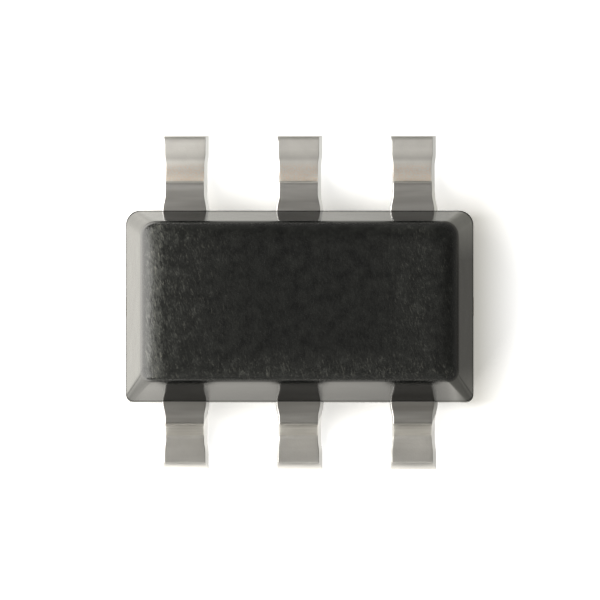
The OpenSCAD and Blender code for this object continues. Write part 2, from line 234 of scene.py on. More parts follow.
def edgeTable(fx, tip, inner):
    # Half width of a lead against reach: the inner end's own steps, root width to the wall, a cosine flare to
    # the neck, and a shorter one out to the foot.
    s = leadShape
    part = np.linspace(0, 1, s["flareRows"])
    ease = (1 - np.cos(math.pi * part)) / 2
    root, neck, foot = s["root"], s["neck"], s["foot"]
    reach = np.r_[part * s["flare"], fx + part * s["footFlare"], tip + 1]
    half = np.r_[root + (neck - root) * ease, neck + (foot - neck) * ease, foot] / 2
    return np.r_[[r for r, w in inner], reach], np.r_[[w for r, w in inner], half]


def leadSection():
    # Section of the strip as rows of (share of the half width, offset from there, height from the middle, how
    # far the point is on a sheared side): flat above and below, with a rounded upper edge that the punch drew
    # in, larger on the right, a slanted side, and a nearly sharp lower edge.
    s = leadShape
    half, band, rows = s["thickness"] / 2, s["sideBand"], s["edgeRows"]
    flat = np.array([[f, 0, half, 0] for f in (-0.6, -0.3, 0, 0.3, 0.6)])
    sides = []
    for radius, slant in ((s["rolloverRight"], s["slantRight"]), (s["rolloverLeft"], s["slantLeft"])):
        slant = math.radians(slant)
        angle = np.linspace(math.pi / 2, slant, rows)
        drop = half - radius + radius * math.sin(slant) + half
        centre = -drop * math.tan(slant) - radius * math.cos(slant)
        arc = np.stack([angle * 0 + 1, centre + radius * np.cos(angle), half - radius + radius * np.sin(angle),
                        np.linspace(0, 1, rows)], -1)
        hold = np.array([[1, centre - band, half, 0]])
        low = np.array([[1, 0, -half + s["burr"], 1], [1, -s["burr"], -half, 1], [1, -s["burr"] - band, -half, 0]])
        sides.append(np.concatenate([hold, arc, low]))
    right, left = sides[0], sides[1][::-1] * [-1, -1, 1, 1]
    below = np.array([[f, 0, -half, 0] for f in (0.6, 0.2, -0.2, -0.6)])
    return np.concatenate([flat, right, below, left])


def formedLead(name, node, x, row, inner, holds=()):
    # The section carried along the path. A point's width is that at its own reach, as in a blank cut from
    # strip, and near the tip the upper side is drawn down along a quarter circle, as the punch leaves it.
    # Between the pairs in holds the sides are all but square. The attributes stage, sheared and finish tell
    # the material where it is.
    s = leadShape
    half = s["thickness"] / 2
    upper, lower, stage, fx, tip, rollover = leadPath(row, -inner[0][0], np.array([r for r, w in inner]))
    section = leadSection()
    share, offset, rise, sheared = section.T
    toTip = np.clip((tip - upper[:, 0]) / rollover, 0, 1)
    toTip = np.where(stage > 4, toTip, 1)
    ceiling = half - rollover * (1 - np.sqrt(1 - (1 - toTip) ** 2))
    rise = np.minimum(rise[None, :], ceiling[:, None])
    level = (rise + half) / s["thickness"]
    reach = lower[:, :1] + (upper - lower)[:, :1] * level
    height = lower[:, 1:] + (upper - lower)[:, 1:] * level
    slant = s["tipSlantBack"] if row > 0 else s["tipSlantFront"]
    slanted = (reach - fx) / (tip - fx) * (rise + half) * math.tan(math.radians(slant))
    reach = np.where(stage[:, None] > 4, reach - slanted, reach)
    tableReach, tableHalf = edgeTable(fx, tip, inner)
    width = np.interp(reach, tableReach, tableHalf)
    square = np.ones(len(stage))
    for low, high in holds:
        square[(upper[:, 0] > low) & (upper[:, 0] < high)] = s["tieSides"]
    across = share * width + offset * square[:, None]
    wall = bodyShape["shift"] + row * bodyShape["width"] / 2
    points = np.stack([x + across, wall + row * reach, height], -1)
    lead = addPiece(name, points.reshape(-1, 3), stackFaces(*points.shape[:2], flip=row > 0))
    marks = {"stage": np.repeat(stage, len(section)), "sheared": np.tile(sheared, len(stage)),
             "finish": np.full(points.shape[0] * points.shape[1], s["finish"][name])}
    for mark, values in marks.items():
        lead.data.attributes.new(mark, "FLOAT", "POINT").data.foreach_set("value", values.astype(np.float32))
    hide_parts(node)
    return lead


def cornerInner():
    # Reach and half width of a corner lead's inner end, from its tip to the wall: cut corners, the wide
    # finger, and the slope down to the root's width.
    s = leadShape
    length = bodyShape["width"] / 2 - s["tie"] / 2 - s["gap"]
    return [(-length, s["finger"] / 2 - s["fingerCut"]), (s["fingerCut"] - length, s["finger"] / 2),
            (s["root"] / 2 - s["finger"] / 2 - s["rootIn"], s["finger"] / 2), (-s["rootIn"], s["root"] / 2)]


def groundInner():
    # Half widths of the middle front lead: the die pad, the tie bars out to the ends of the body, the pad
    # again, and the root
    s = leadShape
    middle, step = bodyShape["width"] / 2, s["cutStep"]
    pad, tie, end = s["padLength"] / 2, s["tie"] / 2, bodyShape["length"] / 2
    far, near = middle + s["padWidth"] / 2, middle - s["padWidth"] / 2
    return [(-far, pad), (-middle - tie - step, pad), (-middle - tie, end), (-middle + tie, end),
            (-middle + tie + step, pad), (-near, pad), (-near + step, s["root"] / 2)]


def bypassInner():
    # Half widths of the middle back lead: the cross piece, then the shank
    s = leadShape
    start = s["padWidth"] / 2 + s["gap"] - bodyShape["width"] / 2
    return [(start, s["teeWidth"] / 2), (start + s["teeLength"] - s["cutStep"], s["teeWidth"] / 2),
            (start + s["teeLength"], s["root"] / 2)]


def lockHole(lead, x, row):
    # Round hole through a corner lead inside the moulding, cut with a plain upright tube
    s = leadShape
    around = s["holeSides"]
    wall = bodyShape["shift"] + row * bodyShape["width"] / 2
    angle = np.linspace(0, 2 * math.pi, around, endpoint=False)
    circle = np.stack([x + s["lockDiameter"] / 2 * np.cos(angle),
                       wall - row * s["lockIn"] + s["lockDiameter"] / 2 * np.sin(angle)], -1)
    level = np.array([s["top"] - 2 * s["thickness"], s["top"] + s["thickness"]])
    points = np.concatenate([np.broadcast_to(circle, (2, around, 2)),
                             np.broadcast_to(level[:, None, None], (2, around, 1))], -1)
    tool = addPiece("lockTool", points.reshape(-1, 3), stackFaces(2, around), body=None)
    cut = lead.modifiers.new("lockHole", "BOOLEAN")
    cut.operation, cut.object, cut.solver = "DIFFERENCE", tool, "EXACT"
    bpy.context.view_layer.update()
    finished = bpy.data.meshes.new_from_object(lead.evaluated_get(bpy.context.evaluated_depsgraph_get()))
    lead.modifiers.clear()
    lead.data = finished
    bpy.data.objects.remove(tool)


def allLeads():
    # The four corner leads with their locking holes, and the two middle ones
    s = leadShape
    inner = cornerInner()
    corners = [("inputLead", "lead_1_input", -1, -1), ("enableLead", "lead_3_enable", 1, -1),
               ("adjustLead", "lead_4_adjust", 1, 1), ("outputLead", "lead_6_output", -1, 1)]
    leads = []
    for name, node, side, row in corners:
        lead = formedLead(name, node, side * s["pitch"], row, inner)
        lockHole(lead, side * s["pitch"], row)
        leads.append(lead)
    middle, hold = -bodyShape["width"] / 2, s["tie"] / 2 + s["tieHold"]
    holds = [(middle - hold, middle + hold)]
    leads.append(formedLead("groundLead", "lead_2_ground_with_die_pad", 0, -1, groundInner(), holds))
    leads.append(formedLead("bypassLead", "lead_5_bypass", 0, 1, bypassInner()))
    return leads


# Materials

def hexColour(text):
    # sRGB hex value to linear red, green, blue and alpha
    value = np.array([int(text[i:i + 2], 16) for i in (1, 3, 5)]) / 255
    linear = np.where(value <= 0.04045, value / 12.92, ((value + 0.055) / 1.055) ** 2.4)
    return (*linear.tolist(), 1.0)


def addNode(tree, kind, settings=None, links=None):
    # Adds a node, sets its properties and input values, and links its inputs, each to a socket or to the first
    # output in use of a node. Colours are hex text, and stops are pairs of place and tone for a colour ramp.
    node = tree.nodes.new(kind)
    for key, value in (settings or {}).items():
        if key == "stops":
            ramp = node.color_ramp.elements
            while len(ramp) < len(value):
                ramp.new(0.5)
            for element, (place, tone) in zip(ramp, value):
                element.position = place
                element.color = hexColour(tone) if isinstance(tone, str) else (tone, tone, tone, 1)
        elif isinstance(key, int) or key in node.inputs:
            node.inputs[key].default_value = hexColour(value) if isinstance(value, str) else value
        else:
            setattr(node, key, value)
    for key, source in (links or {}).items():
        if isinstance(source, bpy.types.Node):
            source = next(output for output in source.outputs if output.enabled)
        tree.links.new(source, node.inputs[key])
    return node


def profileAlong(tree, coordinate, span, stops):
    # A value that follows one coordinate, in straight lines between stops of place in millimetres and value.
    # The places lie in a span of the given length, with its middle at zero.
    share = addNode(tree, "ShaderNodeMapRange", {1: -span / 2 * mm, 2: span / 2 * mm}, {0: coordinate})
    return addNode(tree, "ShaderNodeValToRGB", {"stops": [(0.5 + x / span, value) for x, value in stops]}, {0: share})


def newMaterial(name):
    # Material with an empty node tree, and that tree
    material = bpy.data.materials.new(name)
    material.use_nodes = True
    material.node_tree.nodes.clear()
    return material, material.node_tree


epoxy = {
    "body": "#0a0b0a", "pale": "#1f201e", "rubbedAndLit": "#434441", "streak": "#74736a",
    "topRoughness": 0.31, "wallRoughness": 0.13, "ior": 1.5,
    "topEdge": (1.12, 1.185),  # heights between which the walls' finish passes into that of the top face
    "mottleSize": 0.1, "mottleLevels": (0.36, 0.64), "mottlePale": 0.42,
    "grainSize": 0.026, "grainDepth": 0.005, "grainOnWalls": 0.1, "grainOnTop": 0.6,
    "waveSize": 0.22, "waveDepth": 0.0018,
    "streakWide": 0.013, "streakLong": 0.05, "streakTurn": 15, "streakLevels": (0.58, 0.8),
    "patchLevels": (0.32, 0.68), "patchRange": (0.25, 1.3),
    # Places along the body and strengths of the marks, within markSpan, and the front marks' edge and strength.
    # The strong marks at the left edge are partly painted light
    "markSpan": 3.0,
    "marks": [(-1.3, 0.2), (-1.25, 0.9), (-1.165, 1.0), (-1.12, 0.42), (-0.75, 0.18), (-0.35, 0.0),
              (0.6, 0.0), (0.85, 0.22), (1.02, 0.27), (1.13, 0.12), (1.3, 0.2)],
    "frontEdge": (-0.42, -0.68), "frontMarks": 0.34,
}


def mouldedEpoxy():
    # Silica-filled epoxy, transfer moulded: the top face carries the fine eroded texture of the mould and
    # looks dull, with pale rubbed streaks near the right end and along the front, and at the left edge pale
    # streaks that are partly rubbed and partly painted light, where the rounding faces the lamp, while the walls
    # and their rounding are smoother, a little wavy, and mirror the table.
    v = epoxy
    material, tree = newMaterial("transferMouldedEpoxy")
    place = addNode(tree, "ShaderNodeTexCoord").outputs["Object"]
    axes = addNode(tree, "ShaderNodeSeparateXYZ", links={0: place}).outputs
    # Where the top face is, and its patterns: mottled cloud, grain, and streaks turned a little
    low, high = v["topEdge"]
    top = addNode(tree, "ShaderNodeMapRange", {"interpolation_type": "SMOOTHSTEP", 1: low * mm, 2: high * mm},
                  {0: axes["Z"]})
    mottle = addNode(tree, "ShaderNodeTexNoise",
                     {"Scale": 1 / (v["mottleSize"] * mm), "Detail": 5.0, "Roughness": 0.7}, {"Vector": place})
    grain = addNode(tree, "ShaderNodeTexNoise",
                    {"Scale": 1 / (v["grainSize"] * mm), "Detail": 3.0, "Roughness": 0.65}, {"Vector": place})
    size = (v["streakWide"] * mm, v["streakLong"] * mm, v["streakLong"] * mm)
    slant = addNode(tree, "ShaderNodeMapping",
                    {"vector_type": "TEXTURE", "Rotation": (0, 0, math.radians(v["streakTurn"])), "Scale": size},
                    {"Vector": place})
    streak = addNode(tree, "ShaderNodeTexNoise", {"Scale": 1.0, "Detail": 3.0, "Distortion": 1.2}, {"Vector": slant})
    # How strongly each place is rubbed, with painted light on the left edge's rounding, which faces the lamp
    low, high = v["frontEdge"]
    front = addNode(tree, "ShaderNodeMapRange",
                    {"interpolation_type": "SMOOTHSTEP", 1: low * mm, 2: high * mm, 4: v["frontMarks"]},
                    {0: axes["Y"]})
    ends = profileAlong(tree, axes["X"], v["markSpan"], v["marks"])
    markedAndLit = addNode(tree, "ShaderNodeMath", {"operation": "MAXIMUM"}, {0: ends, 1: front})
    markedAndLit = addNode(tree, "ShaderNodeMath", {"operation": "MULTIPLY"}, {0: markedAndLit, 1: top})
    low, high = v["patchLevels"]
    faint, strong = v["patchRange"]
    patchy = addNode(tree, "ShaderNodeMapRange", {1: low, 2: high, 3: faint, 4: strong}, {0: streak})
    rubbedAndLit = addNode(tree, "ShaderNodeMath", {"operation": "MULTIPLY"}, {0: markedAndLit, 1: patchy})
    # Tone: dark epoxy, paler in the clouds and where it is rubbed, with painted light in that paleness at the left
    # edge, and the sparse pale streaks over it
    low, high = v["mottleLevels"]
    cloudy = addNode(tree, "ShaderNodeMapRange", {1: low, 2: high, 4: v["mottlePale"]}, {0: mottle})
    paleness = addNode(tree, "ShaderNodeMath", {"operation": "MULTIPLY_ADD"}, {0: cloudy, 1: top, 2: rubbedAndLit})
    tone = addNode(tree, "ShaderNodeValToRGB", {"stops": [(0.0, v["body"]), (0.5, v["pale"]), (1.0, v["rubbedAndLit"])]},
                   {0: paleness})
    low, high = v["streakLevels"]
    sparse = addNode(tree, "ShaderNodeMapRange", {1: low, 2: high}, {0: streak})
    lines = addNode(tree, "ShaderNodeMath", {"operation": "MULTIPLY"}, {0: sparse, 1: markedAndLit})
    tone = addNode(tree, "ShaderNodeMix", {"data_type": "RGBA", 7: v["streak"]}, {0: lines, 6: tone})
    # Gloss and relief
    rough = addNode(tree, "ShaderNodeMapRange", {3: v["wallRoughness"], 4: v["topRoughness"]}, {0: top})
    fine = addNode(tree, "ShaderNodeMapRange", {3: v["grainOnWalls"], 4: v["grainOnTop"]}, {0: top})
    waves = addNode(tree, "ShaderNodeTexNoise", {"Scale": 1 / (v["waveSize"] * mm), "Detail": 1.0}, {"Vector": place})
    bump = addNode(tree, "ShaderNodeBump", {"Distance": v["waveDepth"] * mm}, {"Height": waves})
    bump = addNode(tree, "ShaderNodeBump", {"Distance": v["grainDepth"] * mm},
                   {"Height": grain, "Strength": fine, "Normal": bump})
    shader = addNode(tree, "ShaderNodeBsdfPrincipled", {"IOR": v["ior"]},
                     {"Base Color": tone, "Roughness": rough, "Normal": bump})
    addNode(tree, "ShaderNodeOutputMaterial", links={"Surface": shader})
    return material


tin = {
    "worn": "#d0cec9", "matte": "#eeece7", "pressed": "#8d8a84", "speckTone": "#f4d6ba", "bareCopper": "#b98d6a",
    "tip": "#e9e8e6",
    # Pairs of tones: the bands over the shoulders of each row, and the sheared sides of front and back row
    "bandedFront": ("#c1beb8", "#e5e3de"), "bandedBack": ("#dbd9d4", "#f9f7f3"), "sheared": ("#bcbdbe", "#e8e9ea"),
    "footSmooth": 0.41, "footMatte": 0.57, "shoulderSmooth": 0.32, "shoulderMatte": 0.37,
    "cloudSize": 0.13, "grainSize": 0.014, "dotSize": 0.012, "bandSize": 0.085, "bandsAcross": 1.2,
    "bandLevels": (0.32, 0.68), "dotLevels": (0.35, 0.65), "speckShare": 0.5,
    "wornLevels": (0.3, 1.5), "rowLevels": (0.4, 0.6),
    "relief": 0.002, "reliefStrength": 0.5, "reliefBands": 0.7,
    # Stages of the path at which the foot's finish starts and is whole, and how much of it shows there
    "footStages": (1.9, 2.7), "footShare": 0.8,
    "tieEnd": (1.44, 1.447),  # millimetres from the middle between which a tie bar's cut end shows bare
    # Shares of the path: the tip's face, the warm bend of the back row, and where the tool pressed on each row,
    # together with painted shade next to the wall and over the bright parts of the bends
    "tipShares": (0.998, 0.9999),
    "warmBend": [(0.56, 0.0), (0.62, 1.0), (0.78, 0.8), (0.82, 0.0)],
    "pressedFront": [(0.0, 0.3), (0.08, 0.25), (0.16, 0.0), (0.21, 0.0), (0.25, 0.5), (0.3, 0.6), (0.36, 0.25),
                     (0.42, 0.05), (0.66, 0.0), (0.69, 0.33), (0.73, 0.36), (0.79, 0.0)],
    "pressedBack": [(0.0, 0.25), (0.08, 0.22), (0.16, 0.0), (0.22, 0.0), (0.26, 0.42), (0.31, 0.42), (0.36, 0.25),
                    (0.42, 0.1), (0.45, 0.0), (0.825, 0.0), (0.85, 0.28), (0.88, 0.1), (0.91, 0.0), (0.98, 0.0),
                    (0.989, 0.28), (0.998, 0.3)],
}


def matteTin():
    # Matte tin electroplated on copper alloy: fine-grained and soft in its gloss on the feet, burnished darker
    # over the shoulder, where the forming tool pressed on it and left bands across, with painted shade next to
    # the body's wall and over the bright parts of the bends, and warm specks in the wide bends of the back row.
    # The sheared sides and tips are duller, and the cut ends of the tie bars bare copper. The attribute finish
    # sets how rough each lead's foot and shoulder are and how much of the lighter tone its foot has, both more
    # in the back row, and it also tells the rows apart.
    v = tin
    material, tree = newMaterial("electroplatedMatteTin")
    place = addNode(tree, "ShaderNodeTexCoord").outputs["Object"]
    stage, finish, side = [addNode(tree, "ShaderNodeAttribute", {"attribute_name": name}).outputs["Fac"]
                           for name in ("stage", "finish", "sheared")]
    along = addNode(tree, "ShaderNodeMath", {"operation": "DIVIDE", 1: 5.0}, {0: stage})
    low, high = v["rowLevels"]
    backRow = addNode(tree, "ShaderNodeMapRange", {1: low, 2: high}, {0: finish})
    cloud = addNode(tree, "ShaderNodeTexNoise",
                    {"Scale": 1 / (v["cloudSize"] * mm), "Detail": 4.0, "Roughness": 0.6}, {"Vector": place})
    grain = addNode(tree, "ShaderNodeTexNoise", {"Scale": 1 / (v["grainSize"] * mm), "Detail": 2.0}, {"Vector": place})
    dots = addNode(tree, "ShaderNodeTexNoise", {"Scale": 1 / (v["dotSize"] * mm), "Detail": 1.0}, {"Vector": place})
    size = (v["bandsAcross"] / mm, 1 / (v["bandSize"] * mm), 1 / (v["bandSize"] * mm))
    across = addNode(tree, "ShaderNodeMapping", {"Scale": size}, {"Vector": place})
    bands = addNode(tree, "ShaderNodeTexNoise", {"Scale": 1.0, "Detail": 2.0, "Distortion": 0.3}, {"Vector": across})
    # Foot: clouds of a darker and a lighter tin tone, with more of the lighter one in the back row
    low, high = v["wornLevels"]
    share = addNode(tree, "ShaderNodeMath", {"operation": "ADD"}, {0: cloud, 1: finish})
    share = addNode(tree, "ShaderNodeMapRange", {1: low, 2: high}, {0: share})
    foot = addNode(tree, "ShaderNodeMix", {"data_type": "RGBA", 6: v["worn"], 7: v["matte"]}, {0: share})
    # Shoulder: bands across, lighter in the back row
    low, high = v["bandLevels"]
    banded = addNode(tree, "ShaderNodeMapRange", {1: low, 2: high}, {0: bands})
    front, back = [addNode(tree, "ShaderNodeMix", {"data_type": "RGBA", 6: v[key][0], 7: v[key][1]}, {0: banded})
                   for key in ("bandedFront", "bandedBack")]
    shoulder = addNode(tree, "ShaderNodeMix", {"data_type": "RGBA"}, {0: backRow, 6: front, 7: back})
    low, high = v["footStages"]
    onFoot = addNode(tree, "ShaderNodeMapRange",
                     {"interpolation_type": "SMOOTHSTEP", 1: low, 2: high, 4: v["footShare"]}, {0: stage})
    base = addNode(tree, "ShaderNodeMix", {"data_type": "RGBA"}, {0: onFoot, 6: shoulder, 7: foot})
    # Where the forming tool pressed, and painted shade next to the wall and over the bright parts of the bends, for the
    # front row and for the back row
    front, back = [addNode(tree, "ShaderNodeValToRGB", {"stops": v[key]}, {0: along})
                   for key in ("pressedFront", "pressedBack")]
    pressed = addNode(tree, "ShaderNodeMix", {"data_type": "FLOAT"}, {0: backRow, 2: front, 3: back})
    # Warm specks in the back row's bends
    bend = addNode(tree, "ShaderNodeValToRGB", {"stops": v["warmBend"]}, {0: along})
    low, high = v["dotLevels"]
    specks = addNode(tree, "ShaderNodeMapRange", {1: low, 2: high, 4: v["speckShare"]}, {0: dots})
    warmSpecks = addNode(tree, "ShaderNodeMath", {"operation": "MULTIPLY"}, {0: bend, 1: specks})
    warmSpecks = addNode(tree, "ShaderNodeMath", {"operation": "MULTIPLY"}, {0: warmSpecks, 1: backRow})
    # Cut faces: sheared sides, tips, and the ends of the tie bars
    low, high = v["tipShares"]
    tipFace = addNode(tree, "ShaderNodeMapRange", {1: low, 2: high}, {0: along})
    cut = addNode(tree, "ShaderNodeMath", {"operation": "MAXIMUM"}, {0: tipFace, 1: side})
    sheared = addNode(tree, "ShaderNodeMix", {"data_type": "RGBA", 6: v["sheared"][0], 7: v["sheared"][1]},
                      {0: backRow})
    axes = addNode(tree, "ShaderNodeSeparateXYZ", links={0: place}).outputs
    sideways = addNode(tree, "ShaderNodeMath", {"operation": "ABSOLUTE"}, {0: axes["X"]})
    low, high = v["tieEnd"]
    tieEnd = addNode(tree, "ShaderNodeMapRange", {1: low * mm, 2: high * mm}, {0: sideways})
    # The tones over each other, the last on top
    for mask, tone in ((pressed, v["pressed"]), (warmSpecks, v["speckTone"])):
        base = addNode(tree, "ShaderNodeMix", {"data_type": "RGBA", 7: tone}, {0: mask, 6: base})
    base = addNode(tree, "ShaderNodeMix", {"data_type": "RGBA"}, {0: cut, 6: base, 7: sheared})
    for mask, tone in ((tipFace, v["tip"]), (tieEnd, v["bareCopper"])):
        base = addNode(tree, "ShaderNodeMix", {"data_type": "RGBA", 7: tone}, {0: mask, 6: base})
    # Gloss and relief
    foot, over = [addNode(tree, "ShaderNodeMapRange", {3: v[part + "Smooth"], 4: v[part + "Matte"]}, {0: finish})
                  for part in ("foot", "shoulder")]
    gloss = addNode(tree, "ShaderNodeMix", {"data_type": "FLOAT"}, {0: onFoot, 2: over, 3: foot})
    relief = addNode(tree, "ShaderNodeMath", {"operation": "MULTIPLY_ADD", 1: v["reliefBands"]}, {0: bands, 2: grain})
    bump = addNode(tree, "ShaderNodeBump", {"Strength": v["reliefStrength"], "Distance": v["relief"] * mm},
                   {"Height": relief})
    shader = addNode(tree, "ShaderNodeBsdfPrincipled", {"Metallic": 1.0},
                     {"Base Color": base, "Roughness": gloss, "Normal": bump})
    addNode(tree, "ShaderNodeOutputMaterial", links={"Surface": shader})
    return material


silverPaste = {
    "tones": ("#8f8b82", "#c9c6bd"), "flakeSize": 0.012, "metallic": 0.6, "roughness": (0.35, 0.6),
    "relief": 0.002, "reliefStrength": 0.4,
}


def silverEpoxy():
    # Silver-filled die attach epoxy, dispensed and cured: grey with a soft sparkle from the flakes in it
    v = silverPaste
    material, tree = newMaterial("curedSilverEpoxy")
    place = addNode(tree, "ShaderNodeTexCoord").outputs["Object"]
    flakes = addNode(tree, "ShaderNodeTexVoronoi", {"Scale": 1 / (v["flakeSize"] * mm)}, {"Vector": place}).outputs
    tone = addNode(tree, "ShaderNodeMix", {"data_type": "RGBA", 6: v["tones"][0], 7: v["tones"][1]},
                   {0: flakes["Color"]})
    rough = addNode(tree, "ShaderNodeMapRange", {3: v["roughness"][0], 4: v["roughness"][1]}, {0: flakes["Distance"]})
    bump = addNode(tree, "ShaderNodeBump", {"Strength": v["reliefStrength"], "Distance": v["relief"] * mm},
                   {"Height": flakes["Distance"]})
    shader = addNode(tree, "ShaderNodeBsdfPrincipled", {"Metallic": v["metallic"]},
                     {"Base Color": tone, "Roughness": rough, "Normal": bump})
    addNode(tree, "ShaderNodeOutputMaterial", links={"Surface": shader})
    return material


die = {
    "sawn": "#4b5059", "oxide": ("#39424d", "#5d5a4c"), "aluminium": "#d3d2cd", "sawnRoughness": 0.5,
    "faceRoughness": 0.16, "ior": 1.5,
    "cellSize": 0.045, "cellWide": 1.6, "cellHigh": 0.8, "track": 0.06,
    "padLevel": 0.852,  # height above which only the bond pads are
    "upward": (0.5, 0.6),  # how far up a side looks before it counts as the face
}


def patternedSilicon():
    # Silicon die, sawn from the wafer: grey matt sides, and on its polished face the circuit's blocks under
    # glassy oxide, with thin aluminium tracks between them and bright aluminium bond pads above
    v = die
    material, tree = newMaterial("sawnSiliconDie")
    coordinates = addNode(tree, "ShaderNodeTexCoord").outputs
    blocks = addNode(tree, "ShaderNodeTexBrick",
                     {"Scale": 1 / (v["cellSize"] * mm), "Mortar Size": v["track"], "Brick Width": v["cellWide"],
                      "Row Height": v["cellHigh"], "Color1": v["oxide"][0], "Color2": v["oxide"][1],
                      "Mortar": v["aluminium"]}, {"Vector": coordinates["Object"]}).outputs
    facing = addNode(tree, "ShaderNodeSeparateXYZ", links={0: coordinates["Normal"]}).outputs
    face = addNode(tree, "ShaderNodeMapRange", {1: v["upward"][0], 2: v["upward"][1]}, {0: facing["Z"]})
    axes = addNode(tree, "ShaderNodeSeparateXYZ", links={0: coordinates["Object"]}).outputs
    pads = addNode(tree, "ShaderNodeMath", {"operation": "GREATER_THAN", 1: v["padLevel"] * mm}, {0: axes["Z"]})
    tone = addNode(tree, "ShaderNodeMix", {"data_type": "RGBA", 6: v["sawn"]}, {0: face, 7: blocks["Color"]})
    tone = addNode(tree, "ShaderNodeMix", {"data_type": "RGBA", 7: v["aluminium"]}, {0: pads, 6: tone})
    rough = addNode(tree, "ShaderNodeMapRange", {3: v["sawnRoughness"], 4: v["faceRoughness"]}, {0: face})
    metal = addNode(tree, "ShaderNodeMath", {"operation": "MAXIMUM"}, {0: pads, 1: blocks["Fac"]})
    shader = addNode(tree, "ShaderNodeBsdfPrincipled", {"IOR": v["ior"]},
                     {"Base Color": tone, "Roughness": rough, "Metallic": metal})
    addNode(tree, "ShaderNodeOutputMaterial", links={"Surface": shader})
    return material


gold = {
    "tones": ("#d9a94e", "#f0cd7e"), "dieLine": 0.006, "roughness": (0.16, 0.3),
    "relief": 0.0005, "reliefStrength": 0.2,
}


def drawnGold():
    # Gold bond wire, drawn through dies: bright yellow, with faint fine lines from drawing
    v = gold
    material, tree = newMaterial("drawnGoldWire")
    place = addNode(tree, "ShaderNodeTexCoord").outputs["Object"]
    lines = addNode(tree, "ShaderNodeTexNoise", {"Scale": 1 / (v["dieLine"] * mm), "Detail": 2.0}, {"Vector": place})
    tone = addNode(tree, "ShaderNodeMix", {"data_type": "RGBA", 6: v["tones"][0], 7: v["tones"][1]}, {0: lines})
    rough = addNode(tree, "ShaderNodeMapRange", {3: v["roughness"][0], 4: v["roughness"][1]}, {0: lines})
    bump = addNode(tree, "ShaderNodeBump", {"Strength": v["reliefStrength"], "Distance": v["relief"] * mm},
                   {"Height": lines})
    shader = addNode(tree, "ShaderNodeBsdfPrincipled", {"Metallic": 1.0},
                     {"Base Color": tone, "Roughness": rough, "Normal": bump})
    addNode(tree, "ShaderNodeOutputMaterial", links={"Surface": shader})
    return material


def paint(piece, material):
    # The piece gets this material and no other
    piece.data.materials.clear()
    piece.data.materials.append(material)


# Building

moulding = mouldedBody()
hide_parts("moulded_body")
print("moulding:", len(moulding.data.polygons), "faces")
leads = allLeads()
print("leads:", [len(lead.data.polygons) for lead in leads])

paint(moulding, mouldedEpoxy())
tinFinish = matteTin()
for lead in leads:
    paint(lead, tinFinish)
hidden = {"die_attach": silverEpoxy(), "regulator_die": patternedSilicon()}
wireFinish = drawnGold()
inner = {name: node for name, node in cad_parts.items() if name in hidden or name.startswith("bond_wire")}
for name, node in inner.items():
    paint(node, hidden.get(name, wireFinish))
print("inner pieces:", len(inner))


# Floor, light and camera

tableSet = {
    "floor": "#efeeeb", "reach": 0.5, "glowWidth": 0.42, "mirrorStrength": 7.5,
    # Tones of the glow for the camera and for mirror-like rays, laid over each other in this order: painted shade
    # near the body and on the right, painted light at the right corners, and for mirror-like rays the painted
    # reflections that the body's walls show, with dark strips for the leads' dark images
    "seen": {"near": "#a1a09c", "front": "#c8c7c4", "lit": "#f4f4f3", "shade": "#9b9991", "corner": "#e9e8e5",
             "backCorner": "#bcbab5", "far": "#f9f9f8"},
    "mirrored": {"near": "#6b6a66", "far": "#757470", "front": "#8f8d88", "shade": "#3f3e3b", "ends": "#5e5d58",
                 "lit": "#a3a19b", "beyond": "#fffcf6", "strips": "#0c0c0b"},
    # Where each mask starts and is whole, along one axis
    "masks": {"front": ("Y", 0.0, -1.0), "lit": ("X", -1.3, -1.6), "beyond": ("X", -2.0, -3.6),
              "right": ("X", 1.05, 1.1), "below": ("Y", -0.82, -0.92), "above": ("Y", 0.7, 0.78)},
    # The same for both sides of the origin alike
    "evenMasks": {"past": ("Y", 1.46, 1.485), "within": ("X", 1.3, 1.2), "beside": ("Y", 1.65, 1.5)},
    # Where the shade starts at the back and at shadeFrontAt, farther right there, and where it is whole
    "shadeFrom": (1.2, 1.3), "shadeFrontAt": -0.8, "shadeWhole": 1.5,
    "endsFrom": (0.45, 0.85), "stripSide": (0.25, 0.17),
    "products": {"ends": ("outer", "shade"), "corner": ("right", "below"), "backCorner": ("right", "above"),
                 "strips": ("inLine", "past", "within")},
    # Factors of the mirrored glow, along the body and, on the front side, away from it
    "span": 4.0,
    "slope": [(-1.45, 0.746), (-1.3, 1.07), (-1.1, 0.97), (-0.7, 0.79), (0.0, 0.735), (0.3, 0.725), (0.65, 0.67),
              (1.17, 0.58), (1.24, 0.67), (1.32, 1.0), (1.45, 1.0), (1.55, 0.746)],
    "frontFall": [(-1.42, 1.0), (-1.32, 0.82), (-1.27, 0.82), (-1.22, 1.0), (-0.99, 1.0), (-0.96, 0.6),
                  (-0.86, 0.6), (-0.8, 1.0)],
}


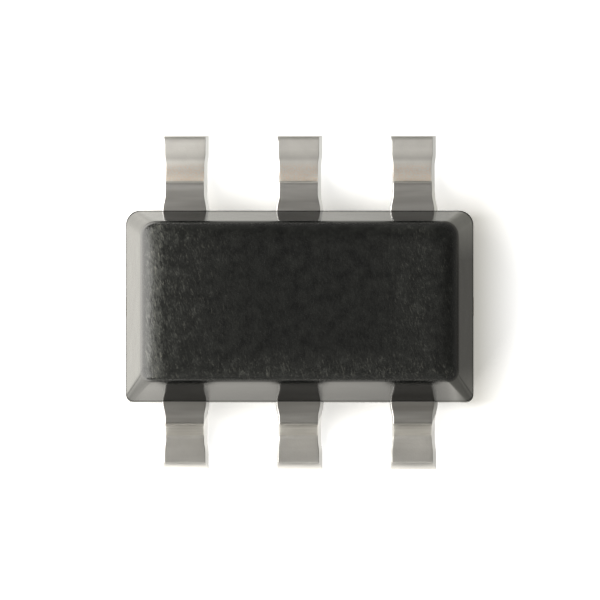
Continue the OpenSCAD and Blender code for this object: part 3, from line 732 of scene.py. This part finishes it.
def tableTop():
    # Pale table. It glows a little, so that it is white away from the object: most on the lamp's side, less
    # along the leads, and least on the far side, where the shadow lies. One set of tones is for the camera
    # and the other for mirror-like rays, which the walls of the body show: brighter towards the left, with
    # paler ends of the right wall and a darker foot of the front wall. Dark strips past the tips keep the
    # leads' dark images in the walls whole up to the top face.
    v = tableSet
    r = v["reach"]
    mesh = bpy.data.meshes.new("tableTop")
    mesh.from_pydata([(-r, -r, 0), (r, -r, 0), (r, r, 0), (-r, r, 0)], [], [(0, 1, 2, 3)])
    table = bpy.data.objects.new("tableTop", mesh)
    bpy.context.scene.collection.objects.link(table)
    material, tree = newMaterial("paleTable")
    place = addNode(tree, "ShaderNodeTexCoord").outputs["Object"]
    sides = addNode(tree, "ShaderNodeSeparateXYZ", links={0: place}).outputs
    even = addNode(tree, "ShaderNodeVectorMath", {"operation": "ABSOLUTE"}, {0: place})
    even = addNode(tree, "ShaderNodeSeparateXYZ", links={0: even}).outputs
    # Distance from the body's outline, and from its middle line
    moved = addNode(tree, "ShaderNodeVectorMath", {"operation": "SUBTRACT", 1: (0, bodyShape["shift"] * mm, 0)},
                    {0: place})
    folded = addNode(tree, "ShaderNodeVectorMath", {"operation": "ABSOLUTE"}, {0: moved})
    half = (bodyShape["length"] / 2 * mm, bodyShape["width"] / 2 * mm, 0)
    outside = addNode(tree, "ShaderNodeVectorMath", {"operation": "SUBTRACT", 1: half}, {0: folded})
    outside = addNode(tree, "ShaderNodeVectorMath", {"operation": "MAXIMUM", 1: (0, 0, 0)}, {0: outside})
    away = addNode(tree, "ShaderNodeVectorMath", {"operation": "LENGTH"}, {0: outside})
    outward = addNode(tree, "ShaderNodeSeparateXYZ", links={0: folded}).outputs
    across = addNode(tree, "ShaderNodeMath", {"operation": "PINGPONG", 1: leadShape["pitch"] / 2 * mm}, {0: sides["X"]})
    # Masks, each from 0 to 1 between two places
    starts = [(name, sides[axis], low, high) for name, (axis, low, high) in v["masks"].items()]
    starts += [(name, even[axis], low, high) for name, (axis, low, high) in v["evenMasks"].items()]
    starts += [("far", away, 0.0, v["glowWidth"]), ("outer", outward["Y"], *v["endsFrom"]),
               ("inLine", across, *v["stripSide"])]
    masks = {name: addNode(tree, "ShaderNodeMapRange", {1: low * mm, 2: high * mm}, {0: source})
             for name, source, low, high in starts}
    back, front = v["shadeFrom"]
    start = addNode(tree, "ShaderNodeMapRange",
                    {1: 0.0, 2: v["shadeFrontAt"] * mm, 3: back * mm, 4: front * mm}, {0: sides["Y"]})
    masks["shade"] = addNode(tree, "ShaderNodeMapRange", {2: v["shadeWhole"] * mm}, {0: sides["X"], 1: start})
    for name, (first, *others) in v["products"].items():
        masks[name] = masks[first]
        for other in others:
            masks[name] = addNode(tree, "ShaderNodeMath", {"operation": "MULTIPLY"}, {0: masks[name], 1: masks[other]})
    # Tones of the two sets
    tones = {}
    for name in ("mirrored", "seen"):
        near, *others = v[name].items()
        base = addNode(tree, "ShaderNodeMix", {"data_type": "RGBA", 0: 0.0, 6: near[1]})
        for key, tone in others:
            base = addNode(tree, "ShaderNodeMix", {"data_type": "RGBA", 7: tone}, {0: masks[key], 6: base})
        tones[name] = base
    rays = addNode(tree, "ShaderNodeLightPath").outputs
    glow = addNode(tree, "ShaderNodeMix", {"data_type": "RGBA"},
                   {0: rays["Is Camera Ray"], 6: tones["mirrored"], 7: tones["seen"]})
    mirrored = addNode(tree, "ShaderNodeMath", {"operation": "MAXIMUM"},
                       {0: rays["Is Glossy Ray"], 1: rays["Is Transmission Ray"]})
    # Strength of the glow: 1 for the camera, and the slope times the fall for mirror-like rays
    slope = profileAlong(tree, sides["X"], v["span"], v["slope"])
    slope = addNode(tree, "ShaderNodeMix", {"data_type": "FLOAT", 2: v["slope"][0][1]}, {0: masks["beside"], 3: slope})
    fall = profileAlong(tree, sides["Y"], v["span"], v["frontFall"])
    strength = addNode(tree, "ShaderNodeMath", {"operation": "MULTIPLY", 1: v["mirrorStrength"]}, {0: slope})
    strength = addNode(tree, "ShaderNodeMath", {"operation": "MULTIPLY"}, {0: strength, 1: fall})
    strength = addNode(tree, "ShaderNodeMath", {"operation": "MULTIPLY_ADD"},
                       {0: mirrored, 1: strength, 2: rays["Is Camera Ray"]})
    colour = addNode(tree, "ShaderNodeMix", {"data_type": "RGBA", 6: v["floor"], 7: "#000000"}, {0: mirrored})
    shader = addNode(tree, "ShaderNodeBsdfPrincipled", {"Roughness": 1.0, "Specular IOR Level": 0.0},
                     {"Base Color": colour, "Emission Color": glow, "Emission Strength": strength})
    addNode(tree, "ShaderNodeOutputMaterial", links={"Surface": shader})
    table.data.materials.append(material)


roomSet = {
    "tone": "#fffdf8", "levels": [(0.0, 0.42), (0.42, 0.42), (0.75, 0.07), (0.92, 0.058), (0.985, 0.21)],
}


def room():
    # Rather dim room, given as pairs of height of the direction and brightness: dark high up on the sides and
    # brighter straight above, where the camera hangs. The camera sees it as white.
    v = roomSet
    world = bpy.data.worlds.new("room")
    world.use_nodes = True
    tree = world.node_tree
    tree.nodes.clear()
    rays = addNode(tree, "ShaderNodeLightPath").outputs
    facing = addNode(tree, "ShaderNodeTexCoord").outputs["Generated"]
    upward = addNode(tree, "ShaderNodeSeparateXYZ", links={0: facing}).outputs
    level = addNode(tree, "ShaderNodeValToRGB", {"stops": v["levels"]}, {0: upward["Z"]})
    even = addNode(tree, "ShaderNodeBackground", {"Color": v["tone"]}, {"Strength": level})
    white = addNode(tree, "ShaderNodeBackground", {"Color": "#ffffff", "Strength": 1.0})
    shade = addNode(tree, "ShaderNodeMixShader", links={0: rays["Is Camera Ray"], 1: even, 2: white})
    addNode(tree, "ShaderNodeOutputWorld", links={"Surface": shade})
    bpy.context.scene.world = world


softbox = {"at": (-0.087, -0.012, 0.046), "size": (0.21, 0.12), "radiance": 5.35, "colour": "#fffdf9"}


def leftBox():
    # One soft box on the left that faces the object. Power is radiance times area times pi.
    v = softbox
    lamp = bpy.data.lights.new("leftBox", "AREA")
    lamp.shape = "RECTANGLE"
    lamp.size, lamp.size_y = v["size"]
    lamp.energy = v["radiance"] * v["size"][0] * v["size"][1] * math.pi
    lamp.color = hexColour(v["colour"])[:3]
    box = bpy.data.objects.new("leftBox", lamp)
    box.location = v["at"]
    box.rotation_euler = (-box.location).to_track_quat("-Z", "Y").to_euler()
    bpy.context.scene.collection.objects.link(box)


cameraSet = {
    "lens": 1073.0, "sensor": 36, "distance": 0.149, "tilt": 4.5,
    "clip": (0.02, 2.0),
    "aim": (0.0029, -0.0236, 0.56),  # point in millimetres that the camera looks at
}


def overheadCamera():
    # Long lens almost straight above, tilted a little to the front
    v = cameraSet
    data = bpy.data.cameras.new("overhead")
    data.lens, data.sensor_width = v["lens"], v["sensor"]
    data.clip_start, data.clip_end = v["clip"]
    camera = bpy.data.objects.new("overhead", data)
    tilt = math.radians(v["tilt"])
    x, y, z = [part * mm for part in v["aim"]]
    camera.location = (x, y - v["distance"] * math.sin(tilt), z + v["distance"] * math.cos(tilt))
    camera.rotation_euler = (tilt, 0, 0)
    bpy.context.scene.collection.objects.link(camera)
    bpy.context.scene.camera = camera


tableTop()
room()
leftBox()
overheadCamera()
bpy.context.scene.view_settings.view_transform = "Standard"
print("stage, light and camera ready")
